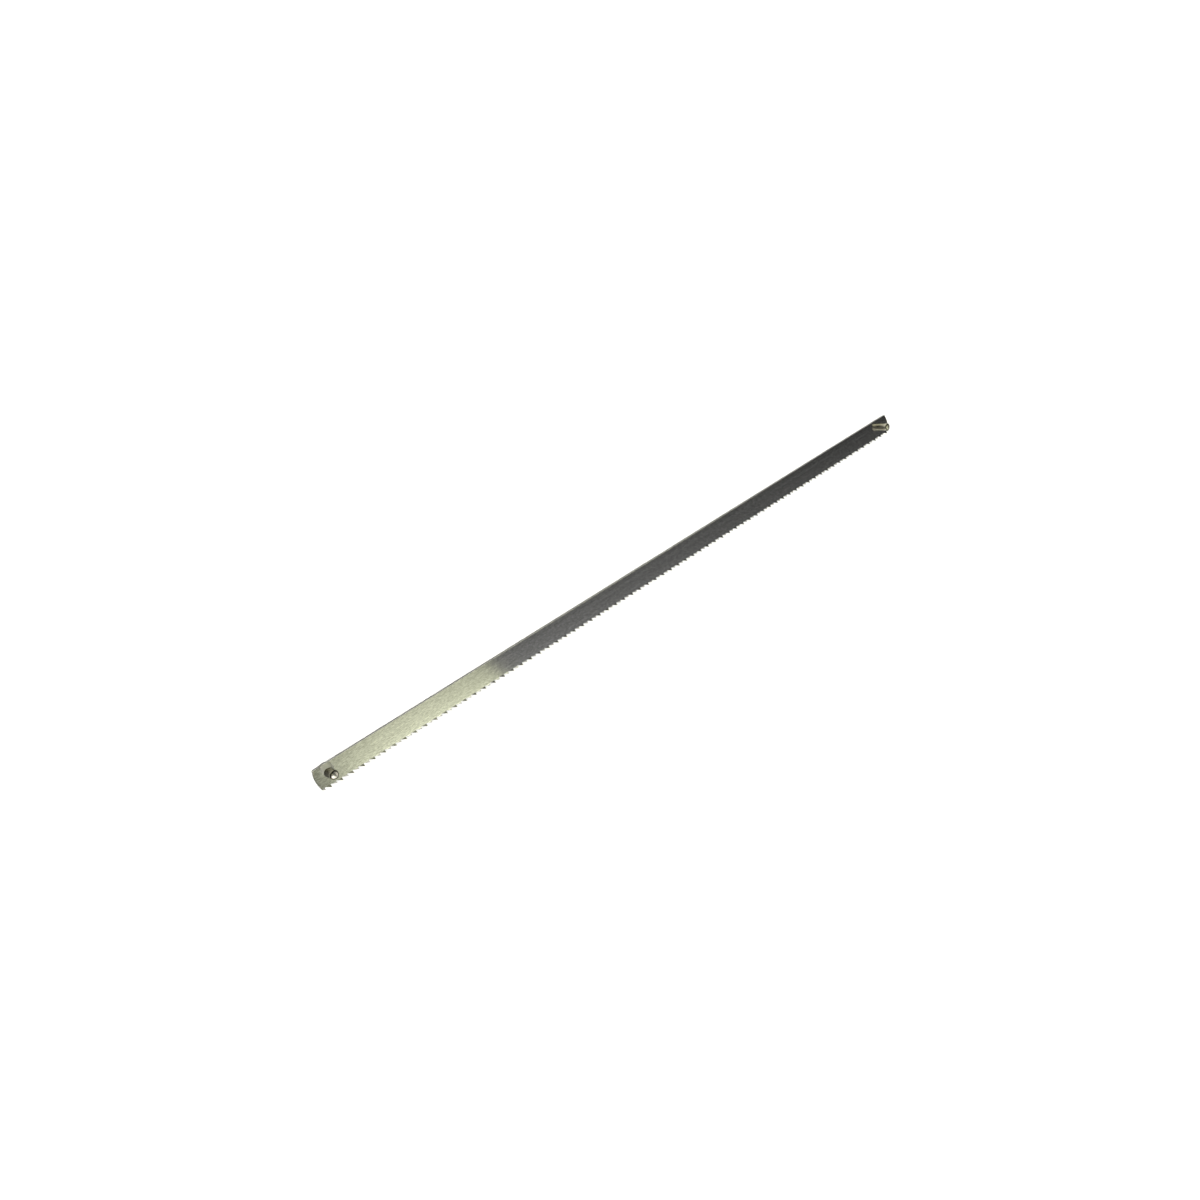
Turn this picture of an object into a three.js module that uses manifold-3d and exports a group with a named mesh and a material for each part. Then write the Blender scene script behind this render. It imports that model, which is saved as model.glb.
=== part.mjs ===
// A slender pinned saw blade: one toothed steel strip with a cross pin pressed through it near each end.
// Millimetres, +Z up. The blade lies flat on its pins with its centre over the origin. +X runs along the
// strip towards the end that the tooth tips point to, +Y points from the teeth to the plain back edge.
import * as THREE from "three";
import { mergeVertices } from "three/addons/utils/BufferGeometryUtils.js";
import Module from "manifold-3d";

const wasm = await Module();
wasm.setup();

// Strip
const TEETH = 142;
const TEETH_PER_INCH = 24;
const PITCH = 25.4 / TEETH_PER_INCH;
const STRIP_LENGTH = TEETH * PITCH; // between the corners of the two round ends
const STRIP_WIDTH = 4.45; // back edge to tooth tips
const STRIP_THICKNESS = 0.65;
const END_BULGE = 0.45; // how far each round end stands past its corners
const EDGE_SWELL = 0.1; // the back edge is pushed out a little beside the near pin
const SWELL_WIDTH = 1.3;
const SWELL_FROM_END = 2;

// Teeth
const TOOTH_DEPTH = 0.56;
const TOOTH_SET = 0.18; // how far a tip leans out of the strip, alternately up and down
const TIP_FLAT = 0.04;
const RAKE = THREE.MathUtils.degToRad(10); // the cutting face leans back under its tip
const GULLET_RADIUS = 0.14;
const GULLET_STEPS = 4;
const FIRST_TIP = 0.44; // from the near corner to the first tip

// Pins
const PIN_RADIUS = 0.83;
const PIN_LENGTH = 5.2;
const PIN_FROM_END = 2.2; // pin centre to the corners of its end of the strip
const NEAR_PIN_FROM_BACK = 1.85;
const FAR_PIN_FROM_BACK = 2.1;
const PIN_SIDES = 48;
const CROP_LAND = 0.25; // the narrow flat left on a cropped pin end
const CROP_DROP = 0.3; // how far the two cropped faces fall from that flat to the side
const NEAR_PIN_LEAN = THREE.MathUtils.degToRad(12); // it went in leaning towards the far end
const NEAR_PIN_SPIN = THREE.MathUtils.degToRad(25); // its cropped ends are turned from straight across

const BACK_Y = STRIP_WIDTH / 2;
const TIP_Y = -STRIP_WIDTH / 2;
const ROOT_Y = TIP_Y + TOOTH_DEPTH;
const BEND_Y = ROOT_Y - GULLET_RADIUS / 2; // the set starts here, beside the gullets
const NEAR_X = -STRIP_LENGTH / 2;
const FAR_X = STRIP_LENGTH / 2;
const MARGIN = 1; // how far a cutting shape runs past what it cuts

// Turns a shape's x, y and depth into the part's y, z and x.
const ALONG_X = new THREE.Matrix4().makeBasis(
  new THREE.Vector3(0, 1, 0),
  new THREE.Vector3(0, 0, 1),
  new THREE.Vector3(1, 0, 0),
);

function toSolid(geometry) {
  const bare = geometry.clone();
  bare.deleteAttribute("normal");
  bare.deleteAttribute("uv");
  const merged = mergeVertices(bare, 1e-5);
  const mesh = new wasm.Mesh({
    numProp: 3,
    vertProperties: merged.attributes.position.array,
    triVerts: new Uint32Array(merged.index.array),
  });
  return new wasm.Manifold(mesh);
}

function toGeometry(solid) {
  const mesh = solid.getMesh();
  const geometry = new THREE.BufferGeometry();
  geometry.setAttribute("position", new THREE.BufferAttribute(mesh.vertProperties, 3));
  geometry.setIndex(new THREE.BufferAttribute(mesh.triVerts, 1));
  const faceted = geometry.toNonIndexed();
  faceted.computeVertexNormals();
  return faceted;
}

function extrude(points, depth) {
  return new THREE.ExtrudeGeometry(new THREE.Shape(points), { depth, bevelEnabled: false });
}

// The plain strip with its two round ends and the swelling of its back edge, thick enough to take in the set
// of the teeth.
function endsSolid() {
  const radius = (STRIP_WIDTH ** 2 / 4 + END_BULGE ** 2) / (2 * END_BULGE);
  const half = Math.asin(STRIP_WIDTH / 2 / radius);
  const shape = new THREE.Shape();
  shape.absarc(FAR_X + END_BULGE - radius, 0, radius, -half, half, false);
  const swellRadius = (SWELL_WIDTH ** 2 / 4 + EDGE_SWELL ** 2) / (2 * EDGE_SWELL);
  const swellHalf = Math.asin(SWELL_WIDTH / 2 / swellRadius);
  const swellY = BACK_Y + EDGE_SWELL - swellRadius;
  const up = Math.PI / 2;
  shape.absarc(NEAR_X + SWELL_FROM_END, swellY, swellRadius, up - swellHalf, up + swellHalf, false);
  shape.absarc(NEAR_X - END_BULGE + radius, 0, radius, Math.PI - half, Math.PI + half, false);
  const depth = STRIP_THICKNESS + 2 * MARGIN;
  const plate = new THREE.ExtrudeGeometry(shape, { depth, bevelEnabled: false, curveSegments: 12 });
  return toSolid(plate.translate(0, 0, -depth / 2));
}

const tipX = (i) => NEAR_X + FIRST_TIP + i * PITCH;

// Where the round gullet ahead of tip i has its centre, and the angles at which it meets the cutting face
// of that tip and the back of the next one.
function gullet(i) {
  const onFace = ROOT_Y - GULLET_RADIUS * (1 + Math.sin(RAKE));
  const x = tipX(i) - (onFace - TIP_Y) * Math.tan(RAKE) + GULLET_RADIUS * Math.cos(RAKE);
  const centre = new THREE.Vector2(x, ROOT_Y - GULLET_RADIUS);
  const toTip = new THREE.Vector2(tipX(i + 1) - TIP_FLAT, TIP_Y).sub(centre);
  const leave = Math.atan2(toTip.y, toTip.x) + Math.acos(GULLET_RADIUS / toTip.length());
  return { centre, meet: Math.PI + RAKE, leave };
}

// The toothed edge from end to end, as if every tooth stood straight.
function toothedSolid() {
  const shape = new THREE.Shape();
  shape.moveTo(FAR_X + MARGIN, BACK_Y + MARGIN);
  shape.lineTo(NEAR_X - MARGIN, BACK_Y + MARGIN);
  shape.lineTo(NEAR_X - MARGIN, ROOT_Y);
  for (let i = -1; i < TEETH; i += 1) {
    const { centre, meet, leave } = gullet(i);
    for (let step = 0; step <= GULLET_STEPS; step += 1) {
      const angle = THREE.MathUtils.lerp(meet, leave, step / GULLET_STEPS);
      shape.lineTo(centre.x + GULLET_RADIUS * Math.cos(angle), centre.y + GULLET_RADIUS * Math.sin(angle));
    }
    shape.lineTo(tipX(i + 1) - TIP_FLAT, TIP_Y);
    shape.lineTo(tipX(i + 1), TIP_Y);
  }
  const depth = STRIP_THICKNESS + 2 * MARGIN;
  const comb = new THREE.ExtrudeGeometry(shape, { depth, bevelEnabled: false });
  return toSolid(comb.translate(0, 0, -depth / 2));
}

function extrudeAlongX(points, start, end) {
  const geometry = extrude(points, end - start).applyMatrix4(ALONG_X);
  return toSolid(geometry.translate(start, 0, 0));
}

// One tooth's length of the strip's lower margin, bent to one side below the gullets. It stops short of its
// neighbours inside the gullets.
function leaningMargin(i, side) {
  const half = STRIP_THICKNESS / 2;
  const lean = side * TOOTH_SET;
  const section = [
    new THREE.Vector2(BEND_Y + MARGIN, -half),
    new THREE.Vector2(BEND_Y + MARGIN, half),
    new THREE.Vector2(BEND_Y, half),
    new THREE.Vector2(TIP_Y, half + lean),
    new THREE.Vector2(TIP_Y, -half + lean),
    new THREE.Vector2(BEND_Y, -half),
  ];
  const start = gullet(i - 1).centre.x + GULLET_RADIUS / 3;
  const end = gullet(i).centre.x - GULLET_RADIUS / 3;
  return extrudeAlongX(section, start, end);
}

function setSolid() {
  const half = STRIP_THICKNESS / 2;
  const section = [
    new THREE.Vector2(BACK_Y + 2 * MARGIN, -half),
    new THREE.Vector2(BACK_Y + 2 * MARGIN, half),
    new THREE.Vector2(BEND_Y, half),
    new THREE.Vector2(BEND_Y, -half),
  ];
  let strip = extrudeAlongX(section, NEAR_X - MARGIN, FAR_X + MARGIN);
  for (let i = 0; i <= TEETH; i += 1) {
    strip = strip.add(leaningMargin(i, i % 2 === 0 ? -1 : 1));
  }
  return strip;
}

function pinBar() {
  const top = PIN_LENGTH / 2 + MARGIN;
  const profile = [
    new THREE.Vector2(0, -top),
    new THREE.Vector2(PIN_RADIUS, -top),
    new THREE.Vector2(PIN_RADIUS, top),
    new THREE.Vector2(0, top),
  ];
  return new THREE.LatheGeometry(profile, PIN_SIDES).rotateX(Math.PI / 2);
}

// A pin cropped from round wire: both ends are wedges with a narrow flat across the strip.
function pinSolid() {
  const half = PIN_LENGTH / 2;
  const side = PIN_RADIUS + MARGIN;
  const fall = (CROP_DROP * (side - CROP_LAND / 2)) / (PIN_RADIUS - CROP_LAND / 2);
  const wedge = [];
  for (const end of [1, -1]) {
    wedge.push(new THREE.Vector2(end * side, end * (half - fall)));
    wedge.push(new THREE.Vector2((end * CROP_LAND) / 2, end * half));
    wedge.push(new THREE.Vector2((-end * CROP_LAND) / 2, end * half));
    wedge.push(new THREE.Vector2(-end * side, end * (half - fall)));
  }
  const depth = 2 * PIN_RADIUS + 2 * MARGIN;
  const cutter = extrude(wedge, depth).translate(0, 0, -depth / 2).rotateX(Math.PI / 2);
  return toSolid(pinBar()).intersect(toSolid(cutter));
}

// Where a pin stands in the strip: spin turns it on its own axis, lean turns its top towards the far end.
function pinPlace(x, y, lean, spin) {
  const turned = new THREE.Matrix4().makeRotationFromEuler(new THREE.Euler(0, lean, spin));
  return turned.setPosition(x, y, 0);
}

const nearPlace = pinPlace(NEAR_X + PIN_FROM_END, BACK_Y - NEAR_PIN_FROM_BACK, NEAR_PIN_LEAN, NEAR_PIN_SPIN);
const farPlace = pinPlace(FAR_X - PIN_FROM_END, BACK_Y - FAR_PIN_FROM_BACK, 0, 0);
const pins = [
  { name: "near_pin", place: nearPlace },
  { name: "far_pin", place: farPlace },
];

let strip = setSolid().intersect(toothedSolid()).intersect(endsSolid());
for (const pin of pins) {
  strip = strip.subtract(toSolid(pinBar().applyMatrix4(pin.place)));
}

const stripSteel = new THREE.MeshStandardMaterial({ color: 0xa9aba0, metalness: 1, roughness: 0.3 });
const pinSteel = new THREE.MeshStandardMaterial({ color: 0xb8b3a2, metalness: 1, roughness: 0.25 });

const blade = new THREE.Group();

const stripMesh = new THREE.Mesh(toGeometry(strip), stripSteel);
stripMesh.name = "blade_strip";
blade.add(stripMesh);

const pinGeometry = toGeometry(pinSolid());
for (const pin of pins) {
  const mesh = new THREE.Mesh(pinGeometry, pinSteel);
  mesh.name = pin.name;
  mesh.applyMatrix4(pin.place);
  blade.add(mesh);
}

// The lowest corner of the pins lies on the ground, and the outer box is centred over the origin.
const box = new THREE.Box3().setFromObject(blade, true);
blade.position.set(0, -(box.min.y + box.max.y) / 2, -box.min.z);

export default blade;
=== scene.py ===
import math

import bmesh
import bpy
from mathutils import Matrix, Vector
from mathutils.geometry import delaunay_2d_cdt


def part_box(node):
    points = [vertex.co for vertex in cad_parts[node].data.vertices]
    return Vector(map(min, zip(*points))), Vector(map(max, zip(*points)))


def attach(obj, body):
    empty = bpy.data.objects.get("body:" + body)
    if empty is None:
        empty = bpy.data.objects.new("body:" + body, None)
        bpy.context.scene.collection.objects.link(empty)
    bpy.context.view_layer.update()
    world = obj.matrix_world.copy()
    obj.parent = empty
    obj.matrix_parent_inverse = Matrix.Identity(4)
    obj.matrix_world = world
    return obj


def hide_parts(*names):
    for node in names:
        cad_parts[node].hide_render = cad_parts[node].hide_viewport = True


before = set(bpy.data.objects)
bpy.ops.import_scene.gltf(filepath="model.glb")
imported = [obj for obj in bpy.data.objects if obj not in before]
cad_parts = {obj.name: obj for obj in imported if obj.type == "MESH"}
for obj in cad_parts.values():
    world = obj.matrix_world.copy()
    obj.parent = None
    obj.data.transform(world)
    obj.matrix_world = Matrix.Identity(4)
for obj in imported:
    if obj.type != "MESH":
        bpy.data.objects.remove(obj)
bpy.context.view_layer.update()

# A slender pinned saw blade lying on its pins. Metres, in the row frame: +X along the strip towards the end
# that the tooth tips point to, +Y from the teeth to the plain back edge, +Z up.

MM = 0.001

# Strip: the outer sizes come from the frame, and the tooth shape repeats the CAD part's.
strip_low, strip_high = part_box("blade_strip")
END_BULGE = 0.45 * MM
EDGE_SWELL = 0.1 * MM
SWELL_WIDTH = 1.3 * MM
SWELL_FROM_END = 2.0 * MM
TEETH = 142
TOOTH_DEPTH = 0.56 * MM
TOOTH_SET = 0.18 * MM
TIP_FLAT = 0.04 * MM
RAKE = math.radians(10)
GULLET_RADIUS = 0.14 * MM
FIRST_TIP = 0.44 * MM

NEAR_X = strip_low.x + END_BULGE
FAR_X = strip_high.x - END_BULGE
BACK_Y = strip_high.y - EDGE_SWELL
TIP_Y = strip_low.y
MID_Z = (strip_low.z + strip_high.z) / 2
THICKNESS = strip_high.z - strip_low.z - 2 * TOOTH_SET
LENGTH = FAR_X - NEAR_X
WIDTH = BACK_Y - TIP_Y
PITCH = LENGTH / TEETH
ROOT_Y = TIP_Y + TOOTH_DEPTH
BEND_Y = ROOT_Y - GULLET_RADIUS / 2
FACE_Z = MID_Z + THICKNESS / 2

# Pins
near_low, near_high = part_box("near_pin")
far_low, far_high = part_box("far_pin")
PIN_RADIUS = (far_high.x - far_low.x) / 2
PIN_HALF = (far_high.z - far_low.z) / 2
PIN_SIDES = 96
PIN_EDGE = 0.07 * MM  # the rubbed round on a pin's rims
CROP_LAND = 0.25 * MM
CROP_DROP = 0.3 * MM
CROP_DOME = 0.12 * MM  # how far the ridge of a cropped end falls towards the side
CROP_SOFT = 0.05 * MM  # how softly the ridge turns into the two sloping faces
NEAR_PIN_LEAN = math.radians(12)
NEAR_PIN_SPIN = math.radians(25)

# Details of the strip's surface that the CAD part leaves out.
CROWN = 0.035 * MM  # how far the ground faces fall from their middle to the edges
UPSET = 0.035 * MM  # how far the metal stands proud between the near pin and the back edge
UPSET_REACH = 0.8 * MM
TOOTH_BEND = 1.25  # a set tooth bends along a curve of this power
HOLE_SIDES = 64
HOLE_GAP = 0.015 * MM
HOLE_EDGE = 0.035 * MM
TOOTH_EDGE = 0.010 * MM  # how far the sheared edges are rounded, on the teeth
BACK_EDGE = 0.055 * MM
END_EDGE = 0.2 * MM


# ---------------------------------------------------------------- camera and light

# The camera stands beside the near end: its place from the near back corner, in strip lengths, and the
# directions of its right side and its back.
CAMERA_PLACE = Vector((-0.0092, 0.4088, 0.9048))
CAMERA_RIGHT = Vector((0.7801, -0.3437, 0.5224))
CAMERA_BACK = Vector((-0.38868, 0.38672, 0.83646))
LENS = 24.48
SENSOR = 36


def make_camera():
    """A close wide-angle view along the blade, rolled so that the blade runs up to the right."""
    scene = bpy.context.scene
    data = bpy.data.cameras.new("camera")
    data.lens = LENS
    data.sensor_width = SENSOR
    data.clip_start = 0.005
    camera = bpy.data.objects.new("camera", data)
    scene.collection.objects.link(camera)
    scene.camera = camera
    eye = Vector((NEAR_X, BACK_Y, FACE_Z)) + LENGTH * CAMERA_PLACE
    up = CAMERA_BACK.cross(CAMERA_RIGHT).normalized()
    back = CAMERA_BACK.normalized()
    right = up.cross(back)
    turn = Matrix((right, up, back)).transposed()
    camera.matrix_world = Matrix.Translation(eye) @ turn.to_4x4()


def node_tree(owner):
    owner.use_nodes = True
    owner.node_tree.nodes.clear()
    return owner.node_tree


def add_node(tree, kind, inputs=None, **settings):
    node = tree.nodes.new(kind)
    for name, value in settings.items():
        setattr(node, name, value)
    for name, value in (inputs or {}).items():
        if isinstance(value, bpy.types.NodeSocket):
            tree.links.new(value, node.inputs[name])
        else:
            node.inputs[name].default_value = value
    return node


def fill_ramp(node, stops):
    """Sets a colour ramp's stops to (position, colour)."""
    ramp = node.color_ramp
    while len(ramp.elements) > 1:
        ramp.elements.remove(ramp.elements[-1])
    for index, (place, colour) in enumerate(stops):
        stop = ramp.elements[0] if index == 0 else ramp.elements.new(place)
        stop.position = place
        stop.color = (*colour, 1)


def soft_step(tree, value, low, high):
    """0 below low, 1 above high, with a smooth rise between them (or a fall, where low is above high)."""
    inputs = {"Value": value, "From Min": low, "From Max": high}
    return add_node(tree, "ShaderNodeMapRange", inputs, interpolation_type="SMOOTHSTEP").outputs["Result"]


def math_node(tree, operation, *values):
    node = add_node(tree, "ShaderNodeMath", operation=operation)
    for index, value in enumerate(values):
        if isinstance(value, bpy.types.NodeSocket):
            tree.links.new(value, node.inputs[index])
        else:
            node.inputs[index].default_value = value
    return node.outputs["Value"]


def mix_colour(tree, share, a, b, blend="MIX"):
    node = add_node(tree, "ShaderNodeMix", data_type="RGBA", blend_type=blend)
    for socket, value in (("Factor_Float", share), ("A_Color", a), ("B_Color", b)):
        target = next(s for s in node.inputs if s.identifier == socket)
        if isinstance(value, bpy.types.NodeSocket):
            tree.links.new(value, target)
        else:
            target.default_value = value
    return next(s for s in node.outputs if s.identifier == "Result_Color")


# The overhead part of the studio, from the -X side to the +X side: place, level and tint. The bright panel
# ends at 0.25.
PANEL = (0.972, 1.0, 0.745)
PLAIN = (1.0, 1.0, 1.0)
OVERHEAD = [
    (-1.0, 0.9, PLAIN),
    (-0.65, 0.7, PLAIN),
    (-0.5, 0.08, PLAIN),
    (-0.10, 0.08, PLAIN),
    (-0.02, 0.20, PLAIN),
    (0.012, 0.40, PANEL),
    (0.045, 0.80, PANEL),
    (0.10, 0.94, PANEL),
    (0.16, 0.95, PANEL),
    (0.205, 0.87, PANEL),
    (0.238, 0.76, PANEL),
    (0.250, 0.25, PLAIN),
    (0.30, 0.225, PLAIN),
    (0.40, 0.19, PLAIN),
    (0.48, 0.173, PLAIN),
    (0.56, 0.146, PLAIN),
    (0.72, 0.106, PLAIN),
    (1.0, 0.106, PLAIN),
]
PANEL_SLANT = 0.085  # the panel's end runs a little aslant
PANEL_SHIFT = 0.0348

# The overhead part is dimmer towards +Y, and the more so towards +X.
FADE_FROM = -0.4
FADE_RATE = -2.4
FADE_RATE_X = -1.6
FADE_LEAST = 0.2
FADE_MOST = 2.2

WALLS_BACK = (0.3, 0.3, 0.25, 1)  # low down, towards +Y
WALLS_SIDE = (0.8, 0.78, 0.68, 1)
WALLS_FRONT = (0.95, 0.95, 0.88, 1)
WALLS_NEAR = (0.12, 0.12, 0.12, 1)  # low down, towards -X

# Round patches of light, each with its direction, the cosines where its soft edge starts and ends, and its
# colour.
PATCHES = [
    ((0.10, 0.75, 0.65), 0.84, 0.91, (0.54, 0.52, 0.43, 1)),
    ((0.25, 0.66, 0.71), 0.895, 0.93, (2.0, 2.0, 1.6, 1)),
    ((-0.24, -0.17, 0.955), 0.98, 0.99, (1.2, 1.15, 0.6, 1)),
    ((-0.24, -0.71, 0.66), 0.972, 0.988, (2.6, 2.55, 2.35, 1)),
]


def make_world():
    """A plain studio: a pale panel on one side overhead, pale walls low down, and grey between them."""
    world = bpy.data.worlds.new("studio")
    bpy.context.scene.world = world
    tree = node_tree(world)
    direction = add_node(tree, "ShaderNodeTexCoord").outputs["Generated"]
    axes = add_node(tree, "ShaderNodeSeparateXYZ", {"Vector": direction}).outputs
    x, y, z = axes["X"], axes["Y"], axes["Z"]
    slant = math_node(tree, "MULTIPLY_ADD", y, PANEL_SLANT, x)
    share = math_node(tree, "MULTIPLY_ADD", slant, 0.5, 0.5 + PANEL_SHIFT / 2)
    ramp = add_node(tree, "ShaderNodeValToRGB", {"Fac": share})
    stops = [((place + 1) / 2, tuple(c * level for c in tint)) for place, level, tint in OVERHEAD]
    fill_ramp(ramp, stops)
    rate = math_node(tree, "MULTIPLY_ADD", x, FADE_RATE_X, FADE_RATE)
    power = math_node(tree, "MULTIPLY", math_node(tree, "ADD", y, -FADE_FROM), rate)
    fade = math_node(tree, "MINIMUM", math_node(tree, "EXPONENT", power), FADE_MOST)
    fade = math_node(tree, "MAXIMUM", fade, FADE_LEAST)
    overhead = mix_colour(tree, 1.0, ramp.outputs["Color"], fade, "MULTIPLY")
    low = soft_step(tree, z, 0.58, 0.42)
    walls = mix_colour(tree, soft_step(tree, y, 0.1, -0.3), WALLS_BACK, WALLS_SIDE)
    walls = mix_colour(tree, soft_step(tree, y, -0.45, -0.65), walls, WALLS_FRONT)
    walls = mix_colour(tree, soft_step(tree, x, -0.3, -0.6), walls, WALLS_NEAR)
    sky = mix_colour(tree, low, overhead, walls)
    for towards, start, full, colour in PATCHES:
        patch = add_node(tree, "ShaderNodeVectorMath", {0: direction, 1: towards}, operation="DOT_PRODUCT")
        shine = soft_step(tree, patch.outputs["Value"], start, full)
        sky = mix_colour(tree, shine, sky, colour)
    background = add_node(tree, "ShaderNodeBackground", {"Color": sky, "Strength": 1.0})
    output = add_node(tree, "ShaderNodeOutputWorld")
    tree.links.new(background.outputs["Background"], output.inputs["Surface"])


KEY_ENERGY = 3.8
KEY_ANGLE = math.radians(20)
KEY_TOWARDS = Vector((-0.45, 0.37, 0.81))
FLOOR_REACH = 6.0
FLOOR_COLOUR = (0.92, 0.92, 0.92, 1)
BACKDROP_RADIUS = 5.5


def make_key_light():
    """The broad main light. It stands beside the camera, so the blade hides its own shadow."""
    data = bpy.data.lights.new("key", "SUN")
    data.energy = KEY_ENERGY
    data.angle = KEY_ANGLE
    light = bpy.data.objects.new("key", data)
    bpy.context.scene.collection.objects.link(light)
    light.visible_glossy = False
    light.rotation_euler = KEY_TOWARDS.to_track_quat("Z", "Y").to_euler()


def make_floor():
    size = FLOOR_REACH
    mesh = bpy.data.meshes.new("floor")
    corners = [(-size, -size, 0), (size, -size, 0), (size, size, 0), (-size, size, 0)]
    mesh.from_pydata(corners, [], [(0, 1, 2, 3)])
    floor = bpy.data.objects.new("floor", mesh)
    bpy.context.scene.collection.objects.link(floor)
    material = bpy.data.materials.new("pale_floor")
    tree = node_tree(material)
    shader = add_node(tree, "ShaderNodeBsdfPrincipled", {"Base Color": FLOOR_COLOUR, "Roughness": 0.9})
    output = add_node(tree, "ShaderNodeOutputMaterial")
    tree.links.new(shader.outputs["BSDF"], output.inputs["Surface"])
    mesh.materials.append(material)


def make_backdrop():
    """A white dome round the studio, for views that look over the floor. It lights and shades nothing."""
    mesh = bpy.data.meshes.new("backdrop")
    dome = bmesh.new()
    bmesh.ops.create_icosphere(dome, subdivisions=3, radius=BACKDROP_RADIUS)
    dome.to_mesh(mesh)
    dome.free()
    backdrop = bpy.data.objects.new("backdrop", mesh)
    bpy.context.scene.collection.objects.link(backdrop)
    backdrop.visible_diffuse = False
    backdrop.visible_glossy = False
    backdrop.visible_transmission = False
    backdrop.visible_shadow = False
    material = bpy.data.materials.new("white_backdrop")
    tree = node_tree(material)
    shader = add_node(tree, "ShaderNodeEmission", {"Color": (1, 1, 1, 1), "Strength": 1.0})
    output = add_node(tree, "ShaderNodeOutputMaterial")
    tree.links.new(shader.outputs["Emission"], output.inputs["Surface"])
    mesh.materials.append(material)


# ---------------------------------------------------------------- the strip's outline

def tip_x(i):
    return NEAR_X + FIRST_TIP + i * PITCH


def gullet(i):
    """Centre of the round gullet ahead of tip i, and the angles where it meets the teeth on both sides."""
    on_face = ROOT_Y - GULLET_RADIUS * (1 + math.sin(RAKE))
    x = tip_x(i) - (on_face - TIP_Y) * math.tan(RAKE) + GULLET_RADIUS * math.cos(RAKE)
    centre = Vector((x, ROOT_Y - GULLET_RADIUS))
    to_tip = Vector((tip_x(i + 1) - TIP_FLAT, TIP_Y)) - centre
    leave = math.atan2(to_tip.y, to_tip.x) + math.acos(GULLET_RADIUS / to_tip.length)
    return centre, math.pi + RAKE, leave


def toothed_edge():
    """Points along the toothed edge, running past both ends."""
    points = []
    arc_steps, heel_steps, face_steps = 7, 4, 2
    for i in range(-1, TEETH):
        centre, meet, leave = gullet(i)
        tip = Vector((tip_x(i), TIP_Y))
        arc = []
        for step in range(arc_steps + 1):
            angle = meet + (leave - meet) * step / arc_steps
            arc.append(centre + GULLET_RADIUS * Vector((math.cos(angle), math.sin(angle))))
        points.append(tip)
        points += [tip.lerp(arc[0], step / face_steps) for step in range(1, face_steps)]
        points += arc
        heel_end = Vector((tip_x(i + 1) - TIP_FLAT, TIP_Y))
        points += [arc[-1].lerp(heel_end, step / heel_steps) for step in range(1, heel_steps + 1)]
    points.append(Vector((tip_x(TEETH), TIP_Y)))
    return points


END_RADIUS = (WIDTH ** 2 / 4 + END_BULGE ** 2) / (2 * END_BULGE)
MIDDLE_Y = (BACK_Y + TIP_Y) / 2


def end_x(y, side):
    """Where the round end on that side (-1 near, 1 far) crosses height y."""
    fall = END_RADIUS - math.sqrt(END_RADIUS ** 2 - (y - MIDDLE_Y) ** 2)
    return (FAR_X + END_BULGE - fall) if side > 0 else (NEAR_X - END_BULGE + fall)


def inside_ends(point):
    return end_x(point.y, -1) < point.x < end_x(point.y, 1)


def crossing(kept, cut):
    """The point between the two where a round end cuts the toothed edge."""
    for _ in range(30):
        middle = (kept + cut) / 2
        if inside_ends(middle):
            kept = middle
        else:
            cut = middle
    return kept


SWELL_RADIUS = (SWELL_WIDTH ** 2 / 4 + EDGE_SWELL ** 2) / (2 * EDGE_SWELL)
SWELL_X = NEAR_X + SWELL_FROM_END


def swell_at(x):
    """How far the back edge is pushed out beside the near pin."""
    away = min(abs(x - SWELL_X), SWELL_WIDTH / 2)
    return EDGE_SWELL - SWELL_RADIUS + math.sqrt(SWELL_RADIUS ** 2 - away ** 2)


def back_edge_places():
    """Places along the back edge from the far end to the near end, close together at the swelling."""
    steps = TEETH // 2
    places = [FAR_X - LENGTH * step / steps for step in range(1, steps)]
    places = [x for x in places if abs(x - SWELL_X) > 0.6 * SWELL_WIDTH]
    steps = 16
    places += [SWELL_X + SWELL_WIDTH * (step / steps - 0.5) for step in range(steps + 1)]
    places += [NEAR_X + 0.3 * MM, FAR_X - 0.3 * MM]
    return sorted(places, reverse=True)


def strip_outline():
    """The whole outline, anticlockwise, starting where the near end meets the teeth."""
    edge = toothed_edge()
    kept = [p for p in edge if inside_ends(p)]
    first, last = edge.index(kept[0]), edge.index(kept[-1])
    start = crossing(edge[first], edge[first - 1])
    stop = crossing(edge[last], edge[last + 1])
    outline = [start] + kept + [stop]
    steps = 18
    for step in range(1, steps + 1):
        y = stop.y + (BACK_Y - stop.y) * step / steps
        outline.append(Vector((end_x(y, 1), y)))
    outline += [Vector((x, BACK_Y + swell_at(x))) for x in back_edge_places()]
    for step in range(steps):
        y = BACK_Y + (start.y - BACK_Y) * step / steps
        outline.append(Vector((end_x(y, -1), y)))
    return outline


def inset(loop, distance):
    """The closed loop moved inwards by distance(point). Anticlockwise loops shrink, clockwise holes grow."""
    moved = []
    count = len(loop)
    for i, point in enumerate(loop):
        before = (point - loop[i - 1]).normalized()
        after = (loop[(i + 1) % count] - point).normalized()
        normal = Vector((-before.y - after.y, before.x + after.x)).normalized()
        spread = max(0.5, normal.dot(Vector((-after.y, after.x))))
        moved.append(point + normal * distance(point) / spread)
    return moved


# ---------------------------------------------------------------- meshes

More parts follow.
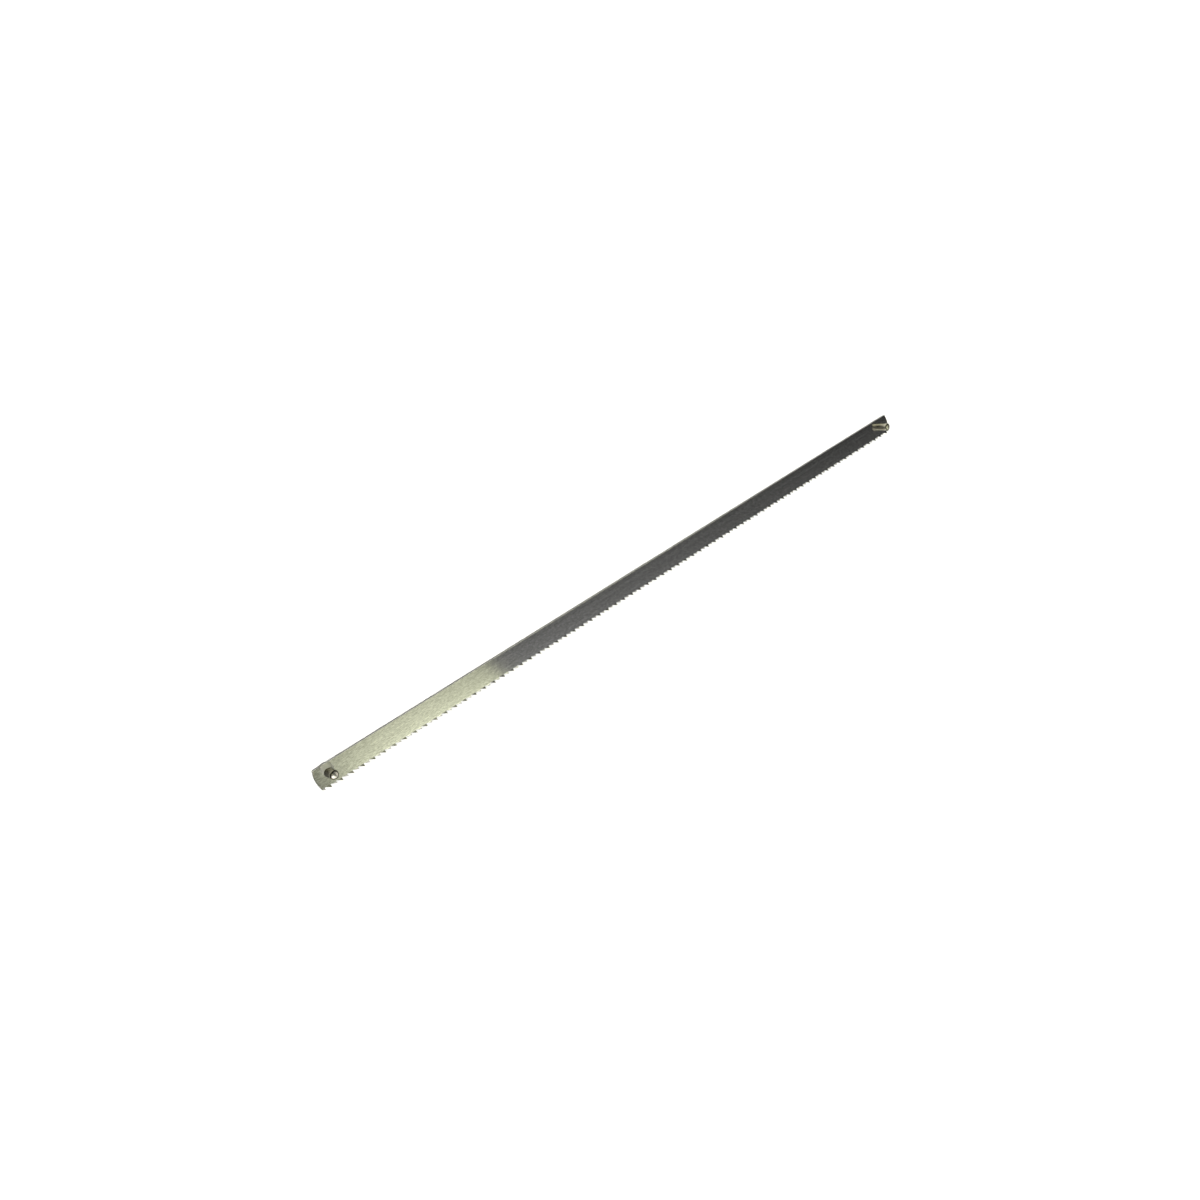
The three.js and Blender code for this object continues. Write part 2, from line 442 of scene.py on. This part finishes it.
class Skin:
    """A mesh under construction: points, faces, and a normal for each corner of each face."""

    def __init__(self):
        self.points = []
        self.faces = []
        self.normals = []

    def add_points(self, points):
        first = len(self.points)
        self.points += points
        return list(range(first, first + len(points)))

    def add_face(self, corners, normals):
        self.faces.append(corners)
        self.normals += normals

    def add_band(self, low, high, low_normals, high_normals):
        """Quads between two closed rings. Each normal is (arriving, leaving), so a corner can be sharp."""
        count = len(low)
        for i in range(count):
            j = (i + 1) % count
            corners = (low[i], low[j], high[j], high[i])
            low_pair = [low_normals[i][1], low_normals[j][0]]
            high_pair = [high_normals[j][0], high_normals[i][1]]
            self.add_face(corners, low_pair + high_pair)

    def make(self, name, material):
        mesh = bpy.data.meshes.new(name)
        mesh.from_pydata(self.points, [], self.faces)
        mesh.polygons.foreach_set("use_smooth", [True] * len(self.faces))
        mesh.normals_split_custom_set([tuple(n) for n in self.normals])
        mesh.materials.append(material)
        made = bpy.data.objects.new(name, mesh)
        bpy.context.scene.collection.objects.link(made)
        return made


SMOOTH_TURN = math.cos(math.radians(35))


def outward(loop):
    """For each point of an anticlockwise loop, its outward normal on arriving and on leaving."""
    count = len(loop)
    steps = [(loop[(i + 1) % count] - loop[i]).normalized() for i in range(count)]
    normals = []
    for i in range(count):
        before, after = steps[i - 1], steps[i]
        arriving, leaving = Vector((before.y, -before.x)), Vector((after.y, -after.x))
        if before.dot(after) > SMOOTH_TURN:
            arriving = leaving = (arriving + leaving).normalized()
        normals.append((arriving, leaving))
    return normals


# ---------------------------------------------------------------- pins

def pin_frame(low, high, lean, spin):
    """Where a pin stands: spin turns it on its own axis, lean turns its top towards the far end."""
    turn = Matrix.Rotation(lean, 4, "Y") @ Matrix.Rotation(spin, 4, "Z")
    return Matrix.Translation((low + high) / 2) @ turn


PIN_FRAMES = [
    pin_frame(near_low, near_high, NEAR_PIN_LEAN, NEAR_PIN_SPIN),
    pin_frame(far_low, far_high, 0, 0),
]


def pin_end_height(x, y):
    """Height of the cropped end over the pin's own middle: a rounded ridge between two sloping faces."""
    slope = CROP_DROP / (PIN_RADIUS - CROP_LAND / 2)
    past = abs(x) - CROP_LAND / 2
    fall = slope * (past + math.hypot(past, CROP_SOFT)) / 2
    return PIN_HALF - fall - CROP_DOME * (y / PIN_RADIUS) ** 2


def pin_skin():
    """Points and faces of a length of round wire, cropped at both ends, with its rims rubbed round."""
    rims = [math.radians(90 * step / 5) for step in range(6)]
    radii = [PIN_RADIUS * share for share in (0.12, 0.24, 0.36, 0.5, 0.64, 0.76, 0.86)]
    sections = [(r, 0.0) for r in radii]
    sections += [(PIN_RADIUS - PIN_EDGE * (1 - math.sin(a)), PIN_EDGE * (1 - math.cos(a))) for a in rims]

    def ring(radius, drop, side):
        """One ring round the pin, at the end on that side, or at the pin's middle for side 0."""
        points = []
        for i in range(PIN_SIDES):
            angle = 2 * math.pi * i / PIN_SIDES
            x, y = radius * math.cos(angle), radius * math.sin(angle)
            points.append(Vector((x, y, side * (pin_end_height(x, y) - drop))))
        return points

    rings = [ring(r, drop, -1) for r, drop in sections]
    rings.append(ring(PIN_RADIUS, 0.0, 0))
    rings += [ring(r, drop, 1) for r, drop in reversed(sections)]
    flat = [point for points in rings for point in points]
    low_tip = len(flat)
    flat += [Vector((0, 0, -pin_end_height(0, 0))), Vector((0, 0, pin_end_height(0, 0)))]
    faces = []
    for row in range(len(rings) - 1):
        for i in range(PIN_SIDES):
            j = (i + 1) % PIN_SIDES
            low, high = row * PIN_SIDES, (row + 1) * PIN_SIDES
            faces.append((low + i, low + j, high + j, high + i))
    last = (len(rings) - 1) * PIN_SIDES
    for i in range(PIN_SIDES):
        j = (i + 1) % PIN_SIDES
        faces.append((low_tip, j, i))
        faces.append((low_tip + 1, last + i, last + j))
    return flat, faces


def make_pin(name, place, material):
    points, faces = pin_skin()
    mesh = bpy.data.meshes.new(name)
    mesh.from_pydata([place @ p for p in points], [], faces)
    mesh.polygons.foreach_set("use_smooth", [True] * len(faces))
    across = mesh.attributes.new("across", "FLOAT", "POINT")
    across.data.foreach_set("value", [math.hypot(p.x, p.y) / PIN_RADIUS for p in points])
    mesh.materials.append(material)
    pin = bpy.data.objects.new(name, mesh)
    bpy.context.scene.collection.objects.link(pin)
    return pin


# ---------------------------------------------------------------- the strip's surface

def lean_at(x, y):
    """How far the set of a tooth carries (x, y) up or down, and how steeply that rises with y."""
    if y >= BEND_Y:
        return 0.0, 0.0
    tooth = math.floor((x - gullet(-1)[0].x) / PITCH)
    side = -1 if tooth % 2 == 0 else 1
    reach = BEND_Y - TIP_Y
    depth = (BEND_Y - y) / reach
    steepness = -side * TOOTH_SET * TOOTH_BEND * depth ** (TOOTH_BEND - 1) / reach
    return side * TOOTH_SET * depth ** TOOTH_BEND, steepness


def crown_at(y):
    """How far the ground faces fall away towards the edges of the strip, and how steeply."""
    share = (y - MIDDLE_Y) / (WIDTH / 2)
    return CROWN * share ** 2, 2 * CROWN * share / (WIDTH / 2)


def pushed_up(x, y):
    """The metal between the near pin and the back edge stands a little proud of the face."""
    away = min(1, abs(x - SWELL_X) / UPSET_REACH)
    start = PIN_FRAMES[0].translation.y
    share = min(1, max(0, (y - start) / (BACK_Y - start)))
    return UPSET * (0.5 + 0.5 * math.cos(math.pi * away)) * share ** 2 * (3 - 2 * share)


def height_at(x, y, side):
    """How high a face lies over the strip's middle, with side 1 for the upper face and -1 for the lower."""
    return lean_at(x, y)[0] + side * (THICKNESS / 2 - crown_at(y)[0] + pushed_up(x, y))


def lifted(point, side, drop=0.0):
    return Vector((point.x, point.y, MID_Z + height_at(point.x, point.y, side) - side * drop))


def face_normal(point, side):
    step = 0.001 * MM
    slope_x = (pushed_up(point.x + step, point.y) - pushed_up(point.x - step, point.y)) / (2 * step)
    slope_y = lean_at(point.x, point.y)[1] - side * crown_at(point.y)[1]
    if slope_x or abs(point.x - SWELL_X) < UPSET_REACH:
        rise = pushed_up(point.x, point.y + step) - pushed_up(point.x, point.y - step)
        slope_y += side * rise / (2 * step)
    return side * Vector((-side * slope_x, -slope_y, 1)).normalized()


def hole_loop(place, z, grow):
    """The hole's edge at height z, clockwise: the pin's own section there, grown a little."""
    turn = place.to_3x3()
    axis = turn.col[2]
    centre = place.translation + axis * (z - place.translation.z) / axis.z
    points = []
    for i in range(HOLE_SIDES):
        angle = -2 * math.pi * i / HOLE_SIDES
        across = (turn.col[0] * math.cos(angle) + turn.col[1] * math.sin(angle)) * (PIN_RADIUS + grow)
        points.append((centre + across - axis * across.z / axis.z).xy)
    return points


def edge_round(point):
    """How far the sheared edges are rounded: crisp on the teeth, softer on the back, most at the two ends."""
    away = min(1, max(0, (point.y - ROOT_Y) / (0.5 * MM)))
    at_end = point.x < NEAR_X + 0.01 * MM or point.x > FAR_X - 0.01 * MM
    return TOOTH_EDGE + ((END_EDGE if at_end else BACK_EDGE) - TOOTH_EDGE) * away


def face_points():
    """Points inside the face: in and just above the teeth, which bend, and in rows across the crown."""
    points = []
    for i in range(TEETH):
        back_centre, _, leave = gullet(i - 1)
        front_centre = gullet(i)[0]
        heel_start = back_centre + GULLET_RADIUS * Vector((math.cos(leave), math.sin(leave)))
        heel_end = Vector((tip_x(i) - TIP_FLAT, TIP_Y))
        for level in (0.08, 0.25, 0.45, 0.65):
            y = BEND_Y + (TIP_Y - BEND_Y) * level
            share = max(0, (y - heel_start.y) / (heel_end.y - heel_start.y))
            left = max(heel_start.lerp(heel_end, share).x, back_centre.x + GULLET_RADIUS)
            right = tip_x(i) - (y - TIP_Y) * math.tan(RAKE)
            if y > front_centre.y:
                right = front_centre.x - GULLET_RADIUS
            count = 3 if level < 0.5 else 1
            for step in range(1, count + 1):
                points.append(Vector((left + (right - left) * step / (count + 1), y)))
        for step in range(5):
            points.append(Vector((back_centre.x + PITCH * step / 5, ROOT_Y + 0.04 * MM)))
    for row in (0.2, 0.4, 0.6, 0.8):
        y = ROOT_Y + (BACK_Y - ROOT_Y) * row
        points += [Vector((NEAR_X + PITCH * (step + row), y)) for step in range(TEETH)]
    clear = 0.1 * MM
    fine = 0.13 * MM
    for column in range(-7, 8):
        for row in range(13):
            place = Vector((SWELL_X + column * fine, BACK_Y - (row + 1.5) * fine))
            if (place - PIN_FRAMES[0].translation.xy).length > PIN_RADIUS + fine:
                points.append(place)
    around = [place.translation.xy for place in PIN_FRAMES]
    points = [p for p in points if min((p - c).length for c in around) > PIN_RADIUS + 0.15 * MM]
    return [p for p in points if end_x(p.y, -1) + clear < p.x < end_x(p.y, 1) - clear]


def add_face_skin(skin, outline, side):
    """One face of the strip. Returns its rim and its hole edges, as point numbers."""
    z = MID_Z + side * THICKNESS / 2
    rim = inset(outline, edge_round)
    holes = [hole_loop(place, z, HOLE_GAP + HOLE_EDGE) for place in PIN_FRAMES]
    loops = [rim] + holes
    points = [p for loop in loops for p in loop]
    edges = []
    members = []
    first = 0
    for loop in loops:
        count = len(loop)
        edges += [(first + i, first + (i + 1) % count) for i in range(count)]
        members.append(set(range(first, first + count)))
        first += count
    points += face_points()
    _, _, triangles, sources, _, _ = delaunay_2d_cdt(points, edges, [], 1, 1e-9)
    where = skin.add_points([lifted(p, side) for p in points])
    normals = [face_normal(p, side) for p in points]
    for triangle in triangles:
        corners = [sources[corner][0] for corner in triangle]
        if any(all(c in loop for c in corners) for loop in members[1:]):
            continue
        if all(c in members[0] for c in corners) and outside(corners, points):
            continue
        if side < 0:
            corners.reverse()
        skin.add_face([where[c] for c in corners], [normals[c] for c in corners])
    marks = []
    first = 0
    for loop in loops:
        marks.append(where[first:first + len(loop)])
        first += len(loop)
    return marks


def outside(corners, points):
    """Whether a triangle between three points of the rim lies outside the rim, as in a gullet."""
    ordered = sorted(corners)
    a, b, c = (points[i] for i in ordered)
    return (b - a).cross(c - a) < 0


def add_rounding(skin, outline, side, rim):
    """Rounds one edge of the strip, from the face's rim to the full outline. Returns the last ring."""
    steps = 4
    out = outward(outline)
    ring = rim
    ring_normals = None
    for step in range(steps + 1):
        angle = math.radians(90 * step / steps)
        loop = inset(outline, lambda p: edge_round(p) * (1 - math.sin(angle)))
        normals = []
        for point, pair in zip(loop, out):
            up = face_normal(point, side)
            normals.append([(n.to_3d() * math.sin(angle) + up * math.cos(angle)).normalized() for n in pair])
        if step == 0:
            ring_normals = normals
            continue
        points = []
        for point, whole in zip(loop, outline):
            drop = edge_round(whole) * (1 - math.cos(angle))
            points.append(lifted(point, side, drop))
        new = skin.add_points(points)
        if side > 0:
            skin.add_band(new, ring, normals, ring_normals)
        else:
            skin.add_band(ring, new, ring_normals, normals)
        ring, ring_normals = new, normals
    return ring, ring_normals


def add_hole(skin, place, top_edge, low_edge):
    """The wall of a pin's hole, with a small round at both faces."""
    top, low = MID_Z + THICKNESS / 2, MID_Z - THICKNESS / 2
    axis = place.to_3x3().col[2]

    def inward(loop):
        centre = sum(loop, Vector((0, 0))) / len(loop)
        return [((centre - p).normalized().to_3d(),) * 2 for p in loop]

    upper = hole_loop(place, top - HOLE_EDGE, HOLE_GAP)
    lower = hole_loop(place, low + HOLE_EDGE, HOLE_GAP)
    up = [(Vector((0, 0, 1)),) * 2] * HOLE_SIDES
    down = [(Vector((0, 0, -1)),) * 2] * HOLE_SIDES
    upper_ring = skin.add_points([p.to_3d() + Vector((0, 0, top - HOLE_EDGE)) for p in upper])
    lower_ring = skin.add_points([p.to_3d() + Vector((0, 0, low + HOLE_EDGE)) for p in lower])
    skin.add_band(upper_ring, top_edge, inward(upper), up)
    skin.add_band(lower_ring, upper_ring, inward(lower), inward(upper))
    skin.add_band(low_edge, lower_ring, down, inward(lower))


def make_strip(material):
    skin = Skin()
    outline = strip_outline()
    top_marks = add_face_skin(skin, outline, 1)
    low_marks = add_face_skin(skin, outline, -1)
    top_ring, top_normals = add_rounding(skin, outline, 1, top_marks[0])
    low_ring, low_normals = add_rounding(skin, outline, -1, low_marks[0])
    skin.add_band(low_ring, top_ring, low_normals, top_normals)
    for place, top_edge, low_edge in zip(PIN_FRAMES, top_marks[1:], low_marks[1:]):
        add_hole(skin, place, top_edge, low_edge)
    return skin.make("strip", material)


# ---------------------------------------------------------------- steel

def steel_shader(tree, colour, roughness, normal, anisotropy, tangent):
    """Metal whose highlight is drawn out across the grain, and the material's output."""
    shader = add_node(tree, "ShaderNodeBsdfPrincipled", {
        "Base Color": colour,
        "Metallic": 1.0,
        "Roughness": roughness,
        "Normal": normal,
        "Anisotropic": anisotropy,
        "Tangent": tangent,
    })
    output = add_node(tree, "ShaderNodeOutputMaterial")
    tree.links.new(shader.outputs["BSDF"], output.inputs["Surface"])


def stretched(tree, stretch, shift=(0, 0, 0)):
    """Object coordinates in millimetres, scaled apart on each axis, for grain that runs one way."""
    place = add_node(tree, "ShaderNodeTexCoord").outputs["Object"]
    scale = [s / MM for s in stretch]
    mapping = add_node(tree, "ShaderNodeMapping", {"Vector": place, "Scale": scale, "Location": shift})
    return mapping.outputs["Vector"]


def noise_value(tree, vector, detail=3.0, roughness=0.6):
    inputs = {"Vector": vector, "Scale": 1.0, "Detail": detail, "Roughness": roughness}
    return add_node(tree, "ShaderNodeTexNoise", inputs).outputs["Fac"]


def map_range(tree, value, low, high, to_low, to_high):
    inputs = {"Value": value, "From Min": low, "From Max": high, "To Min": to_low, "To Max": to_high}
    return add_node(tree, "ShaderNodeMapRange", inputs).outputs["Result"]


def upward(tree):
    """How far a face looks up or down: 1 for a level one, 0 for an upright one."""
    normal = add_node(tree, "ShaderNodeNewGeometry").outputs["True Normal"]
    height = add_node(tree, "ShaderNodeSeparateXYZ", {"Vector": normal}).outputs["Z"]
    return math_node(tree, "ABSOLUTE", height)


def mix_value(tree, share, a, b):
    node = add_node(tree, "ShaderNodeMix", data_type="FLOAT")
    for socket, value in zip(node.inputs[:1] + node.inputs[2:4], (share, a, b)):
        tree.links.new(value, socket)
    return node.outputs[0]


def nearness(tree, point, inner, outer):
    """1 within inner of the point, falling to 0 at outer."""
    place = add_node(tree, "ShaderNodeTexCoord").outputs["Object"]
    away = add_node(tree, "ShaderNodeVectorMath", {0: place, 1: point}, operation="DISTANCE").outputs["Value"]
    return soft_step(tree, away, outer, inner)


def strip_material():
    """Cold-rolled strip, ground lengthwise: long fine streaks on the faces, and sheared edges painted dark
    grey, partly their torn finish and partly painted shade.
    """
    material = bpy.data.materials.new("strip_steel")
    tree = node_tree(material)
    fine = noise_value(tree, stretched(tree, (0.012, 9.0, 9.0)), 4.0, 0.7)
    broad = noise_value(tree, stretched(tree, (0.02, 1.7, 1.7), (3.1, 0.4, 0)), 3.0, 0.6)
    spots = noise_value(tree, stretched(tree, (0.5, 2.4, 2.4), (0.7, 5.2, 0)), 4.0, 0.7)
    mottle = noise_value(tree, stretched(tree, (1.8, 7.0, 7.0), (1.3, 7.1, 0)), 3.0, 0.6)
    sheared = noise_value(tree, stretched(tree, (7.0, 7.0, 0.8)), 3.0, 0.6)
    side = map_range(tree, upward(tree), 0.75, 0.35, 0.0, 1.0)

    # The scuffed patch is between the near pin and the back edge: its roughness is a real scuff, and its pale
    # colour is a painted reflection.
    scuff_and_sheen_centre = PIN_FRAMES[0].translation + Vector((0.1 * MM, 0.9 * MM, THICKNESS / 2))
    scuff_and_painted_sheen = nearness(tree, scuff_and_sheen_centre, 0.3 * MM, 1.8 * MM)

    streaks = map_range(tree, fine, 0.3, 0.7, 0.0, 1.0)
    bands = map_range(tree, broad, 0.3, 0.7, 0.0, 1.0)
    face = mix_colour(tree, streaks, (0.52, 0.515, 0.50, 1), (0.70, 0.70, 0.685, 1))
    face = mix_colour(tree, math_node(tree, "MULTIPLY", bands, 0.35), face, (0.5, 0.495, 0.48, 1))
    face = mix_colour(tree, 1.0, face, map_range(tree, mottle, 0.3, 0.7, 0.74, 1.26), "MULTIPLY")
    # Painted reflection: the scuffed patch is painted near white, standing in for the bright light it
    # mirrors.
    face = mix_colour(tree, math_node(tree, "MULTIPLY", scuff_and_painted_sheen, 0.6), face, (0.95, 0.95, 0.93, 1))
    torn = map_range(tree, sheared, 0.35, 0.65, 0, 1)
    # Painted shade: the upright sheared edges are painted far darker than steel, partly their torn finish and
    # partly shade put into the colour.
    edge = mix_colour(tree, torn, (0.10, 0.10, 0.105, 1), (0.20, 0.20, 0.208, 1))
    colour = mix_colour(tree, side, face, edge)

    grain_rough = map_range(tree, fine, 0.3, 0.7, 0.09, 0.12)
    spot_rough = map_range(tree, spots, 0.35, 0.8, -0.01, 0.02)
    face_rough = math_node(tree, "ADD", grain_rough, spot_rough)
    face_rough = math_node(tree, "MULTIPLY_ADD", scuff_and_painted_sheen, 0.33, face_rough)
    edge_rough = map_range(tree, sheared, 0.3, 0.7, 0.3, 0.5)
    rough = mix_value(tree, side, face_rough, edge_rough)

    edge_height = math_node(tree, "MULTIPLY", math_node(tree, "MULTIPLY", sheared, side), 3.0)
    height = math_node(tree, "ADD", fine, edge_height)
    bump = add_node(tree, "ShaderNodeBump", {"Height": height, "Strength": 1.0, "Distance": 0.0006 * MM})
    across = add_node(tree, "ShaderNodeCombineXYZ", {"X": 0.0, "Y": 1.0, "Z": 0.0}).outputs["Vector"]
    steel_shader(tree, colour, rough, bump.outputs["Normal"], 1.0, across)
    return material


def pin_material():
    """Drawn wire, cropped: marks along the side and torn, bright ends, with painted shade: the near pin's
    side is painted darker, a dark rim is painted round each end, and the far half of the far pin's ends is
    painted dark."""
    material = bpy.data.materials.new("pin_steel")
    tree = node_tree(material)
    drawn = noise_value(tree, stretched(tree, (6.0, 6.0, 0.5)), 4.0, 0.65)
    torn = noise_value(tree, stretched(tree, (9.0, 1.2, 3.0), (2.0, 1.0, 0)), 4.0, 0.7)
    stain = noise_value(tree, stretched(tree, (1.3, 1.3, 1.3), (5.0, 2.0, 1.0)), 3.0, 0.5)
    end = map_range(tree, upward(tree), 0.5, 0.8, 0.0, 1.0)
    marks = mix_value(tree, end, drawn, torn)

    place = add_node(tree, "ShaderNodeTexCoord").outputs["Object"]
    along = add_node(tree, "ShaderNodeSeparateXYZ", {"Vector": place}).outputs["X"]
    far = soft_step(tree, along, -PITCH, PITCH)
    ridge_x = PIN_FRAMES[1].translation.x
    far_side = soft_step(tree, along, ridge_x - 0.1 * PIN_RADIUS, ridge_x + 0.15 * PIN_RADIUS)
    across = add_node(tree, "ShaderNodeAttribute", attribute_name="across").outputs["Fac"]
    rim = soft_step(tree, across, 0.66, 0.78)

    contrast = map_range(tree, marks, 0.3, 0.7, 0.0, 1.0)
    # Painted shade: the near pin's side is painted darker than the far pin's, standing in for the dark it
    # mirrors.
    near_wall_painted_shade = mix_colour(tree, contrast, (0.12, 0.115, 0.085, 1), (0.24, 0.23, 0.18, 1))
    far_wall = mix_colour(tree, contrast, (0.24, 0.23, 0.18, 1), (0.44, 0.42, 0.35, 1))
    wall = mix_colour(tree, far, near_wall_painted_shade, far_wall)
    cut = mix_colour(tree, contrast, (0.62, 0.60, 0.55, 1), (0.88, 0.86, 0.80, 1))
    # Painted shade: a near-black rim is painted round each cropped end.
    cut = mix_colour(tree, rim, cut, (0.07, 0.07, 0.05, 1))
    clean = mix_colour(tree, end, wall, cut)
    colour = mix_colour(tree, map_range(tree, stain, 0.5, 0.75, 0, 0.5), clean, (0.2, 0.17, 0.12, 1))
    # Painted shade: the far half of the far pin's ends is painted dark.
    far_end_painted_shade = math_node(tree, "MULTIPLY", end, far_side)
    colour = mix_colour(tree, far_end_painted_shade, colour, (0.13, 0.13, 0.11, 1))

    rough = map_range(tree, marks, 0.3, 0.7, 0.24, 0.36)
    rough = math_node(tree, "MULTIPLY_ADD", end, -0.1, rough)
    bump = add_node(tree, "ShaderNodeBump", {"Height": marks, "Strength": 0.6, "Distance": 0.02 * MM})
    upright = add_node(tree, "ShaderNodeCombineXYZ", {"X": 0.0, "Y": 0.0, "Z": 1.0}).outputs["Vector"]
    steel_shader(tree, colour, rough, bump.outputs["Normal"], 0.3, upright)
    return material


# ---------------------------------------------------------------- the scene

make_camera()
make_world()
make_key_light()
make_floor()
make_backdrop()
bpy.context.scene.view_settings.view_transform = "Standard"

strip = make_strip(strip_material())
pin_steel = pin_material()
near_pin = make_pin("near_pin_wire", PIN_FRAMES[0], pin_steel)
far_pin = make_pin("far_pin_wire", PIN_FRAMES[1], pin_steel)

for piece, node, steel in (
    (strip, "blade_strip", "strip_steel"),
    (near_pin, "near_pin", "pin_steel"),
    (far_pin, "far_pin", "pin_steel"),
):
    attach(piece, "root")
    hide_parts(node)
